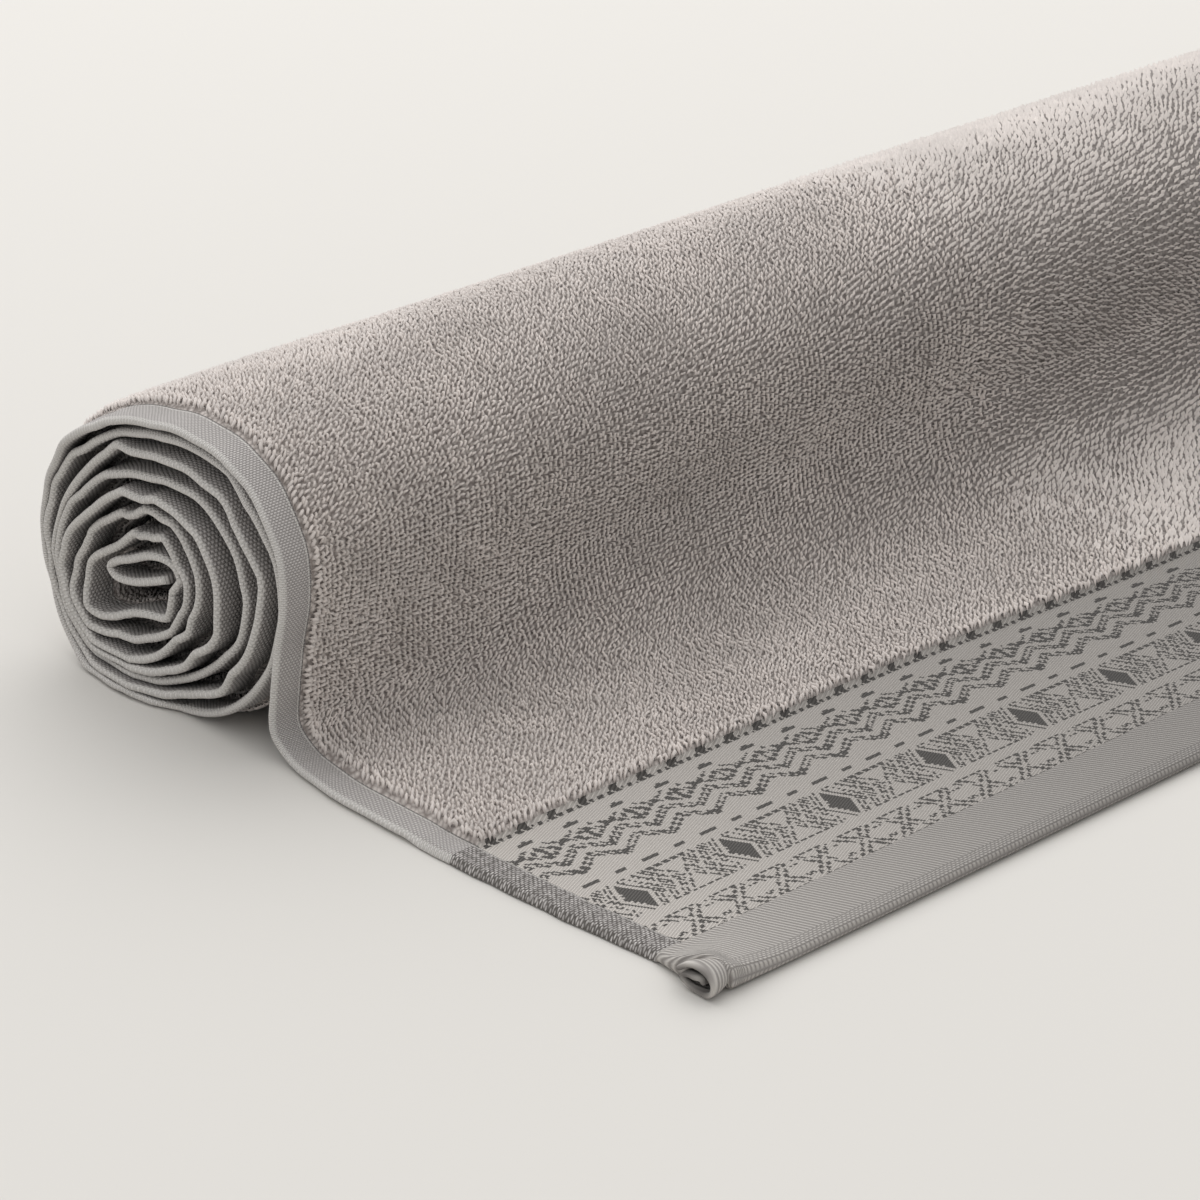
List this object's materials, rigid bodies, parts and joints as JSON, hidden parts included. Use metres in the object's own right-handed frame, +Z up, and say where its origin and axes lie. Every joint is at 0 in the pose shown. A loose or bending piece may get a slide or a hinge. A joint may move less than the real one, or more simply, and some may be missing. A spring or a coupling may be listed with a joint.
{
  "type": "rolled bath towel",
  "caption": "Terry bath towel rolled from one end, with its other end lying flat in front and a woven patterned border above the end hem.",
  "frame": {"origin": "middle of the bounding box's base, on the surface that the towel lies on", "axes": "+X along the roll, away from the end that the picture shows; +Z up; the flat loose end lies towards -Y"},
  "size_m": [0.7036, 0.2134, 0.0698],
  "materials": {
    "terry_cotton": "matte looped pile"
  },
  "bodies": {
    "root": {"towel": "terry_cotton"}
  },
  "joints": []
}
